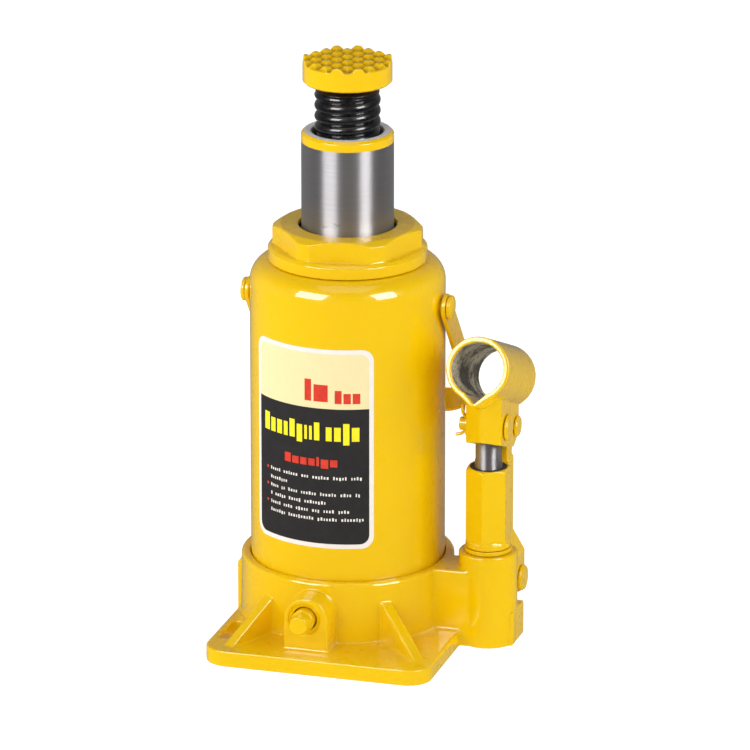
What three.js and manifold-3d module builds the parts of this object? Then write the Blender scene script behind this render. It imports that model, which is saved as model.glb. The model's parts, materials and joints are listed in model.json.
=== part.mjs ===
// Hydraulic bottle jack, 12 t class, in millimetres, +Z up.
// The origin is on the ram's axis at the underside of the base. The pump stands on the +X side and
// the handle socket opens towards -Y, which is the front. Everything is drawn with the ram raised
// 40 mm, the extension screw out 22 mm and the handle socket tipped up at the front.

import * as THREE from "three";
import { mergeVertices } from "three/addons/utils/BufferGeometryUtils.js";
import Module from "manifold-3d";

const wasm = await Module();
wasm.setup();

// ---------------------------------------------------------------- driving dimensions

const GAP = 0.3; // between two pieces that touch
const OVER = 0.6; // how far a cutter runs past the face it opens

const BASE = {
  left: -47.6,
  right: 57.7,
  halfDepth: 72.2,
  plate: 7.3,
  corner: 11,
  cupRadius: 48.3,
  cupTop: 35.5,
  floor: 30,
};

// The two long slots in the left flange; near and far are their arcs' centres in Y.
const SLOT = { x: -42, near: 35, far: 53, radius: 2.4 };

// Webs from the cup wall down to the plate: where each starts and ends at the front, and its size.
const GUSSETS = [
  { start: [-24.2, -40.8], end: [-36.5, -64.5], thick: 5, height: 25 },
  { start: [29.5, -38.5], end: [50.5, -58.2], thick: 5.5, height: 26 },
];

const TANK = { radius: 44, wall: 2, shoulder: 10, top: 174.1, mouth: 31.4 };

const CYLINDER = { radius: 27, bore: 21.1, bottom: 17.6, top: 181.5 };
const CHAMBER = { radius: 20, bottom: 10, ledge: 16 };

const NUT = {
  flange: 35.8,
  bottom: 174.4,
  hexFrom: 180.7,
  top: 190.2,
  across: 61.6,
  cornerRadius: 33.8,
  hole: 22.2,
  skirtFrom: 168,
  hexTurn: THREE.MathUtils.degToRad(-49.7),
};

// The groove for the ram's wiper in the nut.
const WIPER = { groove: 24.5, from: 184.5, to: 188 };

// The stub under the ram carries its seal, its guide ring and the retainer that holds them.
const RAM = {
  radius: 20.75,
  bottom: 68,
  top: 233.5,
  bore: 16,
  boreFloor: 92,
  stub: 14,
  stubLength: 10,
  edge: 0.8,
};

const SCREW = {
  crest: 14.8,
  root: 12.6,
  pitch: 5,
  bottom: 166,
  top: 252.5,
  spigot: 9,
  spigotLength: 8,
  neck: 6.2,
};

const SADDLE = {
  radius: 20,
  bottom: 255.8,
  face: 265,
  tip: 267,
  grid: 6.6,
  gridTurn: THREE.MathUtils.degToRad(62),
  studTop: 1.5,
  studFoot: 3.9,
};

const PUMP = {
  x: 67.2,
  y: -4,
  blockRadius: 13.3,
  blockTop: 43,
  wall: 5,
  rightFace: 13.5,
  footTop: 15.5,
  boreFloor: 16,
  hexAcross: 18.4,
  hexFrom: 48.7,
  top: 83,
  collar: 10.2,
  shank: 7.6,
  bore: 6.5,
};

const PLUNGER = {
  radius: 6.2,
  bottom: 38,
  top: 109,
  flatFrom: 86,
  halfFlat: 5.2,
  tail: 6,
  tailRadius: 3.6,
};

// Pivots of the pump linkage, as [y, z]; all their axes run along X.
const PIN = { plunger: [-4, 102], linkTop: [12, 97.4], linkFoot: [12, 25.2], radius: 3 };

const LINK = { halfShank: 6, halfTop: 5.2, halfFork: 10.9, cheek: 3.7, eye: 6.7, front: 8.2, rear: 16.8 };

const SOCKET = {
  tilt: THREE.MathUtils.degToRad(21.6),
  centre: [-0.5, 125.9],
  length: 49,
  radius: 14.5,
  bore: 12,
  chin: 16.9,
  slitFoot: 15.7,
  halfWidth: 8.2,
  cheek: 2.6,
  noseY: -18.4,
  noseBackY: -13,
  slotRadius: 4.1,
  slotReach: 1.5,
};

// The carrying handle is a strip bent to a U; hang is its angle behind the vertical, hanging down.
const BAIL = {
  pivotZ: 154.8,
  halfSpan: 45,
  reach: 79,
  width: 12,
  thick: 2,
  bend: 16,
  rivet: 3,
  hang: THREE.MathUtils.degToRad(39.5),
};

const FILLER = { radius: 5, z: 150 };

const VALVE = { x: -2.4, z: 22, bore: 5.6, mouth: 7.4, spindle: 5.2, seatY: -41, faceY: -60.5, endY: -69.5 };

const BOSS = { halfWidth: 10.3, centre: -1.6, archZ: 21.5, foot: 3, depth: 22 };

const CHECK = { x: 52, inletY: -9, outletY: 1, radius: 4, boreTop: 17.8, ball: 2.8, ballZ: 14.4 };

const RELIEF = { z: 13, bore: 4, ball: 2.4, seatX: -34, face: -50.6, halfWidth: 7, shoulder: 26, top: 32 };

// Every oil drilling has this radius; the low ones run at lowZ, the high one at highZ.
const OIL = { radius: 1.7, lowZ: 13, highZ: 21, reservoirX: 36, segments: 8 };

// The split pins: how far inside the clevis pin's tail they sit, and their eye and wire radii.
const SPLIT = { inset: 2.9, eye: 2.1, wire: 0.8 };

const LABEL = { bottom: 50.8, top: 144.5, from: -47.5, to: 32, radius: 44.3, thick: 0.25 };

// ---------------------------------------------------------------- finishes

const finish = (color, roughness, metalness) => ({ color, roughness, metalness });
const YELLOW = finish(0xf5c400, 0.3, 0);
const GROUND_STEEL = finish(0x9a9a9c, 0.3, 1);
const BLACK_STEEL = finish(0x16161a, 0.3, 0.6);
const PLAIN_STEEL = finish(0x77797c, 0.45, 1);
const CHROME_STEEL = finish(0xc8cace, 0.1, 1);
const RUBBER = finish(0x1a1a1a, 0.8, 0);
const URETHANE = finish(0xb5482a, 0.5, 0);
const BRASS = finish(0xb08d3c, 0.4, 1);
const COPPER = finish(0xb0653a, 0.4, 1);
const PAPER = finish(0xf3edc8, 0.4, 0);

// ---------------------------------------------------------------- solids

// A closed three.js geometry as a solid, whichever way round its faces were wound.
function solid(geometry) {
  const bare = geometry.index ? geometry.toNonIndexed() : geometry.clone();
  bare.deleteAttribute("normal");
  bare.deleteAttribute("uv");
  const merged = mergeVertices(bare, 1e-4);
  const source = merged.index.array;
  const triangles = [];
  for (let i = 0; i < source.length; i += 3) {
    const [a, b, c] = [source[i], source[i + 1], source[i + 2]];
    if (a !== b && b !== c && c !== a) triangles.push(a, b, c);
  }
  const build = () =>
    new wasm.Manifold(
      new wasm.Mesh({
        numProp: 3,
        vertProperties: merged.attributes.position.array,
        triVerts: new Uint32Array(triangles),
      }),
    );
  const made = build();
  if (made.volume() >= 0) return made;
  triangles.reverse();
  return build();
}

function join(first, ...others) {
  return others.reduce((sum, other) => sum.add(other), first);
}

function cut(first, ...others) {
  return others.reduce((rest, other) => rest.subtract(other), first);
}

const jack = new THREE.Group();

// Adds one named piece to the jack.
function piece(name, shape, look) {
  const mesh = shape.getMesh();
  const geometry = new THREE.BufferGeometry();
  geometry.setAttribute("position", new THREE.BufferAttribute(mesh.vertProperties, 3));
  geometry.setIndex(new THREE.BufferAttribute(mesh.triVerts, 1));
  geometry.computeVertexNormals();
  const made = new THREE.Mesh(geometry, new THREE.MeshStandardMaterial(look));
  made.name = name;
  jack.add(made);
}

// A turned piece about a vertical axis at (x, y); the profile is a list of [radius, z].
function turned(profile, segments = 48, x = 0, y = 0) {
  const closed = profile[0][0] > 0;
  const points = profile.map(([r, z]) => new THREE.Vector2(r, z));
  if (closed) points.push(points[0].clone());
  const geometry = new THREE.LatheGeometry(points, segments);
  geometry.rotateX(Math.PI / 2);
  geometry.translate(x, y, 0);
  return solid(geometry);
}

function ring(inner, outer, from, to, segments = 48, x = 0, y = 0) {
  return turned([[inner, from], [outer, from], [outer, to], [inner, to]], segments, x, y);
}

function disc(radius, from, to, segments = 48, x = 0, y = 0) {
  return turned([[0, from], [radius, from], [radius, to], [0, to]], segments, x, y);
}

// Cylinders along X and along Y, at the two other coordinates.
function rodX(radius, from, to, y, z, segments = 16) {
  const geometry = new THREE.CylinderGeometry(radius, radius, Math.abs(to - from), segments);
  geometry.rotateZ(Math.PI / 2);
  geometry.translate((from + to) / 2, y, z);
  return solid(geometry);
}

function rodY(radius, from, to, x, z, segments = 24) {
  const geometry = new THREE.CylinderGeometry(radius, radius, Math.abs(to - from), segments);
  geometry.translate(x, (from + to) / 2, z);
  return solid(geometry);
}

function box(x0, x1, y0, y1, z0, z1) {
  const geometry = new THREE.BoxGeometry(x1 - x0, y1 - y0, z1 - z0);
  geometry.translate((x0 + x1) / 2, (y0 + y1) / 2, (z0 + z1) / 2);
  return solid(geometry);
}

function ball(radius, x, y, z) {
  const geometry = new THREE.SphereGeometry(radius, 12, 8);
  geometry.translate(x, y, z);
  return solid(geometry);
}

function outline(points) {
  return new THREE.Shape(points.map(([a, b]) => new THREE.Vector2(a, b)));
}

// A flat outline in X and Y, raised from z0 to z1.
function plateZ(shape, z0, z1, curveSegments = 12) {
  const geometry = new THREE.ExtrudeGeometry(shape, {
    depth: z1 - z0,
    bevelEnabled: false,
    curveSegments,
  });
  geometry.translate(0, 0, z0);
  return solid(geometry);
}

// A flat outline in Y and Z, spread along X from x0 to x1.
function plateX(shape, x0, x1, curveSegments = 12) {
  const geometry = new THREE.ExtrudeGeometry(shape, {
    depth: x1 - x0,
    bevelEnabled: false,
    curveSegments,
  });
  geometry.applyMatrix4(new THREE.Matrix4().set(0, 0, 1, x0, 1, 0, 0, 0, 0, 1, 0, 0, 0, 0, 0, 1));
  return solid(geometry);
}

// A flat outline in X and Z, spread along Y from y0 to y1.
function plateY(shape, y0, y1, curveSegments = 12) {
  const geometry = new THREE.ExtrudeGeometry(shape, {
    depth: y1 - y0,
    bevelEnabled: false,
    curveSegments,
  });
  geometry.rotateX(Math.PI / 2);
  geometry.translate(0, y1, 0);
  return solid(geometry);
}

// A hexagonal bar about a vertical axis; turn is the azimuth of one corner, from +X.
function hexagon(across, from, to, turn, x = 0, y = 0) {
  const corner = across / Math.sqrt(3);
  const points = [];
  for (let i = 0; i < 6; i++) {
    const angle = turn + (i * Math.PI) / 3;
    points.push([x + corner * Math.cos(angle), y + corner * Math.sin(angle)]);
  }
  return plateZ(outline(points), from, to);
}

// A round wire along a list of [x, y, z] points.
function wire(points, radius, steps = 24, sides = 8) {
  const curve = new THREE.CatmullRomCurve3(points.map((p) => new THREE.Vector3(...p)));
  const section = new THREE.Shape();
  section.absarc(0, 0, radius, 0, Math.PI * 2, false);
  const geometry = new THREE.ExtrudeGeometry(section, {
    steps,
    extrudePath: curve,
    curveSegments: sides / 2,
    bevelEnabled: false,
  });
  return solid(geometry);
}

// An arc of [radius, z] points for a turned profile.
function arc(centreR, centreZ, radius, fromDegrees, toDegrees, steps) {
  const points = [];
  for (let i = 0; i <= steps; i++) {
    const angle = THREE.MathUtils.degToRad(fromDegrees + ((toDegrees - fromDegrees) * i) / steps);
    points.push([centreR + radius * Math.cos(angle), centreZ + radius * Math.sin(angle)]);
  }
  return points;
}

// ---------------------------------------------------------------- base casting

// The flat foot plate, with rounded corners and a long slot in each flange.
function footPlate() {
  const { left, right, halfDepth, corner, plate } = BASE;
  const shape = new THREE.Shape();
  shape.absarc(right - corner, halfDepth - corner, corner, 0, Math.PI / 2, false);
  shape.absarc(left + corner, halfDepth - corner, corner, Math.PI / 2, Math.PI, false);
  shape.absarc(left + corner, -halfDepth + corner, corner, Math.PI, 1.5 * Math.PI, false);
  shape.absarc(right - corner, -halfDepth + corner, corner, 1.5 * Math.PI, 2 * Math.PI, false);
  const whole = plateZ(shape, 0, plate, 6);
  const { x, near, far, radius } = SLOT;
  const slot = (from, to) => {
    const hole = new THREE.Shape();
    hole.absarc(x, to, radius, 0, Math.PI, false);
    hole.absarc(x, from, radius, Math.PI, 2 * Math.PI, false);
    return plateZ(hole, -OVER, plate + OVER, 6);
  };
  return cut(whole, slot(near, far), slot(-far, -near));
}

// A web that runs down from the cup wall to the plate; side is 1 as listed, -1 for its mirror image
// at the rear.
function gusset({ start, end, thick, height }, side) {
  const run = Math.hypot(end[0] - start[0], end[1] - start[1]);
  const inside = 9;
  const sunk = BASE.plate - 2;
  const web = outline([
    [-inside, sunk],
    [run, sunk],
    [run, BASE.plate + 0.4],
    [0, height],
    [-inside, height],
  ]);
  const geometry = new THREE.ExtrudeGeometry(web, { depth: thick, bevelEnabled: false });
  geometry.translate(0, 0, -thick / 2);
  geometry.rotateX(Math.PI / 2);
  geometry.rotateZ(Math.atan2(side * (end[1] - start[1]), end[0] - start[0]));
  geometry.translate(start[0], side * start[1], 0);
  return solid(geometry);
}

// The arched boss on the front that carries the release valve.
function valveBoss() {
  const { halfWidth, centre, archZ, foot, depth } = BOSS;
  const shape = new THREE.Shape();
  shape.moveTo(centre - halfWidth, foot);
  shape.lineTo(centre + halfWidth, foot);
  shape.absarc(centre, archZ, halfWidth, 0, Math.PI, false);
  shape.closePath();
  return plateY(shape, VALVE.faceY, VALVE.faceY + depth, 8);
}

// The square boss on the left side that carries the relief valve, with a sloped shoulder on top.
function reliefBoss() {
  const { face, halfWidth, shoulder, top } = RELIEF;
  const inside = -38;
  const run = top - shoulder;
  return plateY(
    outline([[face, 0], [inside, 0], [inside, top], [face + run, top], [face, shoulder]]),
    -halfWidth,
    halfWidth,
  );
}

// The neck, the half-round block under the pump cylinder, its foot pad and the lug for the link.
function pumpBlock() {
  const { x, y, blockRadius, blockTop, wall, rightFace, footTop } = PUMP;
  const [pinY, pinZ] = PIN.linkFoot;
  const far = 20;
  const round = disc(blockRadius, 0, blockTop, 32, x, y)
    .subtract(box(x - far, x + far, wall, far, -OVER, blockTop + OVER))
    .subtract(box(x + rightFace, x + far, -far, far, -OVER, blockTop + OVER));
  const neck = box(40, x, y - 12.2, wall, 0, BASE.cupTop);
  const foot = box(40, x + rightFace, y - 6, 8.8, 0, footTop);
  const rearFoot = box(46, x + 8, 0, 18, 0, footTop);
  const halfLug = LINK.halfFork - LINK.cheek - GAP;
  const lugLow = 8;
  const lug = join(
    rodX(LINK.eye, x - halfLug, x + halfLug, pinY, pinZ, 20),
    box(x - halfLug, x + halfLug, 2, pinY + LINK.eye, lugLow, pinZ),
    box(x - halfLug, x + halfLug, 2, pinY, lugLow, pinZ + LINK.eye),
  );
  return join(round, neck, foot, rearFoot, lug);
}

function oilUp(x, y, from, to) {
  return disc(OIL.radius, from, to, OIL.segments, x, y);
}

function oilAcross(from, to, y, z) {
  return rodX(OIL.radius, from, to, y, z, OIL.segments);
}

// Oil drillings of the pump: every one starts from a bore that is open to the outside of the casting.
function pumpDrillings() {
  const { x, inletY, outletY, radius, boreTop } = CHECK;
  const { lowZ, highZ, reservoirX } = OIL;
  const feedY = inletY + 2.4;
  const outletZ = 18;
  return [
    disc(radius, -OVER, boreTop, 16, x, inletY),
    disc(radius, -OVER, boreTop, 16, x, outletY),
    oilUp(x, inletY, lowZ, highZ + OIL.radius),
    oilAcross(reservoirX, x, inletY, highZ),
    oilUp(reservoirX, inletY, highZ, BASE.floor + OVER),
    oilAcross(x, PUMP.x, feedY, lowZ),
    oilUp(PUMP.x, feedY, lowZ, PUMP.boreFloor + OVER),
    oilAcross(CHAMBER.radius - 2, x, outletY, lowZ),
    oilUp(x, outletY, lowZ, outletZ + 1),
    oilAcross(x, PUMP.x - 4, outletY, outletZ),
  ];
}

// The stepped bore of the release valve and the drillings that join the ram's chamber to the tank.
function releaseValveBores() {
  const { x, z, bore, seatY, faceY, mouth } = VALVE;
  const endY = -34;
  return [
    rodY(bore, faceY - OVER, seatY, x, z, 20),
    rodY(mouth, faceY - OVER, faceY + 1, x, z, 20),
    rodY(2.2, seatY - OVER, endY, x, z, OIL.segments),
    oilUp(x, endY - 2, OIL.lowZ, z),
    rodY(OIL.radius, endY - 2, 2 - CHAMBER.radius, x, OIL.lowZ, OIL.segments),
    oilUp(x, seatY + 2, z, BASE.floor + OVER),
  ];
}

function reliefValveBores() {
  const { z, bore, seatX, face } = RELIEF;
  return [
    rodX(bore, face - OVER, seatX, 0, z, 16),
    oilAcross(seatX - OVER, 2 - CHAMBER.radius, 0, z),
    oilUp(seatX - 4, 0, z, BASE.floor + OVER),
  ];
}

function baseCasting() {
  const { cupRadius, cupTop, floor } = BASE;
  const draft = 0.6;
  const cup = turned(
    [[0, 0], [cupRadius + draft, 0], [cupRadius, cupTop - 1], [cupRadius - 1, cupTop], [0, cupTop]],
    48,
  );
  const webs = GUSSETS.flatMap((web) => [gusset(web, 1), gusset(web, -1)]);
  const body = join(footPlate(), cup, reliefBoss(), valveBoss(), pumpBlock(), ...webs);
  return cut(
    body,
    disc(TANK.radius + 0.5, floor, cupTop + OVER, 48),
    disc(CYLINDER.radius + GAP, CHAMBER.ledge, floor + OVER, 32),
    disc(CHAMBER.radius, CHAMBER.bottom, CHAMBER.ledge + OVER, 20),
    disc(PUMP.shank + GAP, PUMP.boreFloor, PUMP.blockTop + OVER, 24, PUMP.x, PUMP.y),
    rodX(PIN.radius + GAP, 50, 90, PIN.linkFoot[0], PIN.linkFoot[1], 16),
    ...reliefValveBores(),
    ...releaseValveBores(),
    ...pumpDrillings(),
  );
}

// ---------------------------------------------------------------- tank, cylinder, nut

function reservoirTank() {
  const { radius, wall, shoulder, top, mouth } = TANK;
  const bottom = BASE.floor + 1.6;
  const inner = radius - wall;
  const shell = turned(
    [
      [inner, bottom],
      [radius, bottom],
      ...arc(radius - shoulder, top - shoulder, shoulder, 0, 90, 5),
      [mouth, top],
      [mouth, top - wall],
      ...arc(radius - shoulder, top - shoulder, shoulder - wall, 90, 0, 2),
    ],
    48,
  );
  return cut(
    shell,
    rodX(BAIL.rivet + GAP, -50, 50, 0, BAIL.pivotZ, 16),
    rodY(FILLER.radius + GAP, 30, 50, 0, FILLER.z, 16),
  );
}

// The hexagon's corners are turned down to a cylinder, and chamfered by a cone that meets the flats
// at their middle.
function topNut() {
  const { flange, bottom, hexFrom, top, across, cornerRadius, hole, skirtFrom, hexTurn } = NUT;
  const crown = turned(
    [
      [0, hexFrom - 1],
      [cornerRadius, hexFrom - 1],
      [cornerRadius, top - 1.8],
      [across / 2 - 0.6, top],
      [0, top],
    ],
    72,
  );
  const hex = hexagon(across, hexFrom - 0.5, top, hexTurn).intersect(crown);
  const skirt = disc(TANK.mouth - 0.4, skirtFrom, bottom + 1, 32);
  const rim = turned(
    [[0, bottom], [flange, bottom], [flange, hexFrom - 1.4], [flange - 1.4, hexFrom], [0, hexFrom]],
    48,
  );
  return cut(
    join(skirt, rim, hex),
    disc(CYLINDER.radius + GAP, skirtFrom - OVER, CYLINDER.top + GAP, 32),
    disc(RAM.radius + 0.5, CYLINDER.top, top + OVER, 32),
    disc(WIPER.groove, WIPER.from, WIPER.to, 32),
    disc(hole, WIPER.to - 0.5, top + OVER, 32),
    ring(TANK.mouth - 0.1, 34.3, bottom - OVER, bottom + 1.6, 32),
  );
}

// A rivet through the tank wall, with a flat head inside and a low dome outside the handle.
function rivet(side) {
  const { pivotZ, halfSpan, thick, rivet: shankRadius } = BAIL;
  const rod = (radius, from, to) => rodX(radius, side * from, side * to, 0, pivotZ, 16);
  const outerFace = halfSpan + thick + GAP;
  const dome = new THREE.SphereGeometry(7, 16, 10);
  dome.scale(0.36, 1, 1);
  dome.translate(side * outerFace, 0, pivotZ);
  const head = solid(dome).intersect(rod(5.4, outerFace, outerFace + 4));
  return join(rod(shankRadius, 40, outerFace + 0.5), rod(5, 39.4, 41.2), head);
}

function carryHandle() {
  const { pivotZ, halfSpan, reach, width, thick, bend, hang, rivet: shankRadius } = BAIL;
  const outer = halfSpan + thick;
  const above = 6;
  const wide = 120;
  const shape = new THREE.Shape();
  shape.moveTo(-outer, above);
  shape.lineTo(-halfSpan, above);
  shape.absarc(-halfSpan + bend, -reach + bend, bend, Math.PI, 1.5 * Math.PI, false);
  shape.absarc(halfSpan - bend, -reach + bend, bend, 1.5 * Math.PI, 2 * Math.PI, false);
  shape.lineTo(halfSpan, above);
  shape.lineTo(outer, above);
  shape.absarc(halfSpan - bend, -reach + bend, bend + thick, 0, -Math.PI / 2, true);
  shape.absarc(-halfSpan + bend, -reach + bend, bend + thick, -Math.PI / 2, -Math.PI, true);
  shape.closePath();
  const strip = plateY(shape, -width / 2, width / 2, 8);
  const rounding = join(
    rodX(width / 2, -wide / 2, wide / 2, 0, 0, 24),
    box(-wide / 2, wide / 2, -width, width, -reach - 10, 0),
  );
  return strip
    .intersect(rounding)
    .subtract(rodX(shankRadius + GAP, -wide / 2, wide / 2, 0, 0, 16))
    .rotate([THREE.MathUtils.radToDeg(hang), 0, 0])
    .translate([0, 0, pivotZ]);
}

function fillerPlug() {
  const { radius, z } = FILLER;
  const { radius: outside, wall } = TANK;
  return join(
    rodY(radius, outside - 4, outside + 0.6, 0, z, 16),
    rodY(radius + 1, outside - wall - 2.4, outside - wall - 1, 0, z, 16),
    rodY(radius + 2.4, outside + 0.4, outside + 3.4, 0, z, 20),
  );
}

function ratingLabel() {
  const { bottom, top, from, to, radius, thick } = LABEL;
  const band = ring(radius, radius + thick, bottom, top, 96);
  const beyond = 70;
  const wedge = outline([
    [0, 0],
    ...[0, 0.25, 0.5, 0.75, 1].map((t) => {
      const angle = THREE.MathUtils.degToRad(-90 + from + t * (to - from));
      return [beyond * Math.cos(angle), beyond * Math.sin(angle)];
    }),
  ]);
  return band.intersect(plateZ(wedge, bottom - 1, top + 1));
}

// ---------------------------------------------------------------- ram and extension screw

function ram() {
  const { radius, bottom, top, bore, boreFloor, stub, stubLength, edge } = RAM;
  const foot = bottom - stubLength;
  const outside = turned(
    [
      [0, foot],
      [stub, foot],
      [stub, bottom],
      [radius, bottom],
      [radius, top - edge],
      [radius - edge, top],
      [0, top],
    ],
    36,
  );
  return cut(
    outside,
    disc(bore, boreFloor, top + OVER, 28),
    disc(6, foot - OVER, bottom + 4, 16),
  );
}

function ramRetainer() {
  const foot = RAM.bottom - RAM.stubLength;
  const radius = 18.5;
  const profile = [
    [0, foot - 4],
    [radius - 1, foot - 4],
    [radius, foot - 3],
    [radius, foot - GAP],
    [0, foot - GAP],
  ];
  return join(turned(profile, 32), disc(5.7, foot - 1, RAM.bottom + 3, 16));
}

// A rounded coarse thread: rings of points whose radius follows the helix.
function extensionScrew() {
  const { crest, root, pitch, bottom, top, spigot, spigotLength, neck } = SCREW;
  const around = 12;
  const rowsPerPitch = 3;
  const rows = Math.round(((top - bottom) / pitch) * rowsPerPitch);
  const middle = (crest + root) / 2;
  const depth = (crest - root) / 2;
  const positions = [];
  for (let row = 0; row <= rows; row++) {
    const z = bottom + ((top - bottom) * row) / rows;
    for (let k = 0; k < around; k++) {
      const angle = (2 * Math.PI * k) / around;
      const radius = middle + depth * Math.cos((2 * Math.PI * z) / pitch - angle);
      positions.push(radius * Math.cos(angle), radius * Math.sin(angle), z);
    }
  }
  positions.push(0, 0, bottom, 0, 0, top);
  const foot = (rows + 1) * around;
  const corners = [];
  for (let k = 0; k < around; k++) {
    const next = (k + 1) % around;
    for (let row = 0; row < rows; row++) {
      const [low, high] = [row * around, (row + 1) * around];
      corners.push(low + k, low + next, high + next, low + k, high + next, high + k);
    }
    corners.push(foot, next, k, foot + 1, rows * around + k, rows * around + next);
  }
  const geometry = new THREE.BufferGeometry();
  geometry.setAttribute("position", new THREE.Float32BufferAttribute(positions, 3));
  geometry.setIndex(corners);
  return join(
    solid(geometry),
    disc(spigot, top - 1, top + spigotLength, 24),
    disc(neck, bottom - 5, bottom + 1, 20),
  );
}

// One stud of the saddle: a four-sided frustum with its flat top at the tip height. The studs stand
// in a square grid with the saddle's centre in the middle of a square.
function stud(u, v) {
  const { face, tip, studTop, studFoot, gridTurn } = SADDLE;
  const sunk = 0.4;
  const geometry = new THREE.CylinderGeometry(studTop, studFoot, tip - face + sunk, 4);
  geometry.rotateX(Math.PI / 2);
  geometry.rotateZ(Math.PI / 4);
  geometry.translate(u, v, (face - sunk + tip) / 2);
  geometry.rotateZ(gridTurn);
  return solid(geometry);
}

function saddlePad() {
  const { radius, bottom, face, tip, grid } = SADDLE;
  const profile = [
    [0, bottom],
    [radius - 1, bottom],
    [radius, bottom + 1],
    [radius, face - 0.5],
    [radius - 0.5, face],
    [0, face],
  ];
  const studs = [];
  const first = grid * (0.5 - Math.round(radius / grid));
  for (let u = first; u < radius; u += grid) {
    for (let v = first; v < radius; v += grid) {
      if (Math.hypot(u, v) <= radius) studs.push(stud(u, v));
    }
  }
  const studded = join(turned(profile, 36), ...studs).intersect(disc(radius, bottom, tip + 1, 36));
  const hollow = SCREW.top + SCREW.spigotLength + GAP;
  return cut(studded, disc(SCREW.spigot + GAP, bottom - OVER, hollow, 24));
}

// ---------------------------------------------------------------- pump

function pumpCylinder() {
  const { x, y, blockTop, hexAcross, hexFrom, top, collar, shank, bore, boreFloor } = PUMP;
  const corner = hexAcross / Math.sqrt(3);
  const chamfer = turned(
    [
      [0, hexFrom - 1],
      [corner - 0.9, hexFrom - 1],
      [corner + 0.5, hexFrom + 0.8],
      [corner + 0.5, top - 1.4],
      [corner - 1.6, top],
      [0, top],
    ],
    28,
    x,
    y,
  );
  const hex = hexagon(hexAcross, hexFrom - 0.5, top, -Math.PI / 2, x, y).intersect(chamfer);
  const collarFrom = blockTop + 2.4;
  const shankFrom = boreFloor + 3;
  const rings = turned(
    [
      [0, shankFrom],
      [shank, shankFrom],
      [shank, collarFrom],
      [collar, collarFrom],
      [collar, hexFrom - 1],
      [collar - 0.8, hexFrom],
      [0, hexFrom],
    ],
    28,
    x,
    y,
  );
  return cut(
    join(hex, rings),
    disc(bore, boreFloor, top + OVER, 24, x, y),
    disc(8.4, top - 1.2, top + OVER, 24, x, y),
  );
}

function pumpPlunger() {
  const { radius, bottom, top, flatFrom, halfFlat, tail, tailRadius } = PLUNGER;
  const [pinY, pinZ] = PIN.plunger;
  const profile = [
    [0, bottom],
    [tailRadius, bottom],
    [tailRadius, bottom + tail],
    [radius, bottom + tail],
    [radius, top - 2],
    [radius - 2, top],
    [0, top],
  ];
  const far = 12;
  return cut(
    turned(profile, 28, PUMP.x, PUMP.y),
    box(PUMP.x + halfFlat, PUMP.x + far, -20, 20, flatFrom, top + OVER),
    box(PUMP.x - far, PUMP.x - halfFlat, -20, 20, flatFrom, top + OVER),
    rodX(PIN.radius + GAP, PUMP.x - far, PUMP.x + far, pinY, pinZ, 16),
  );
}

// A flat bar with an eye at the top and a fork at the foot that straddles the casting's lug.
function connectingLink() {
  const { halfShank, halfTop, halfFork, cheek, eye, front, rear } = LINK;
  const [topY, topZ] = PIN.linkTop;
  const [footY, footZ] = PIN.linkFoot;
  const x = PUMP.x;
  const shank = box(x - halfShank, x + halfShank, front, rear, 44, 82);
  const neck = box(x - halfTop, x + halfTop, front, rear, 80, topZ);
  const topEye = rodX(5.6, x - halfTop, x + halfTop, topY, topZ, 20);
  const forkSide = new THREE.Shape();
  forkSide.absarc(footY, footZ, eye, Math.PI, 2 * Math.PI, false);
  forkSide.lineTo(footY + eye, 36);
  forkSide.lineTo(rear, 47);
  forkSide.lineTo(front, 47);
  forkSide.lineTo(footY - eye + 0.3, 34);
  forkSide.closePath();
  const fork = plateX(forkSide, x - halfFork, x + halfFork, 12);
  const low = footZ - eye - 2;
  const hips = [
    [x - halfFork, low],
    [x + halfFork, low],
    [x + halfFork, 37],
    [x + halfShank, 46.5],
    [x + halfShank, 50],
    [x - halfShank, 50],
    [x - halfShank, 46.5],
    [x - halfFork, 37],
  ];
  const inner = halfFork - cheek;
  const crotch = join(
    box(x - inner, x + inner, 0, 30, 0, footZ + 2),
    rodX(eye + 1.2, x - inner, x + inner, footY, footZ + 1, 20),
    box(x - inner, x + inner, 0, footY, 0, 34),
  );
  return cut(
    join(fork.intersect(plateY(outline(hips), -5, 35)), shank, neck, topEye),
    crotch,
    rodX(PIN.radius + GAP, x - 20, x + 20, footY, footZ, 16),
    rodX(PIN.radius + GAP, x - 20, x + 20, topY, topZ, 16),
  );
}

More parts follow.
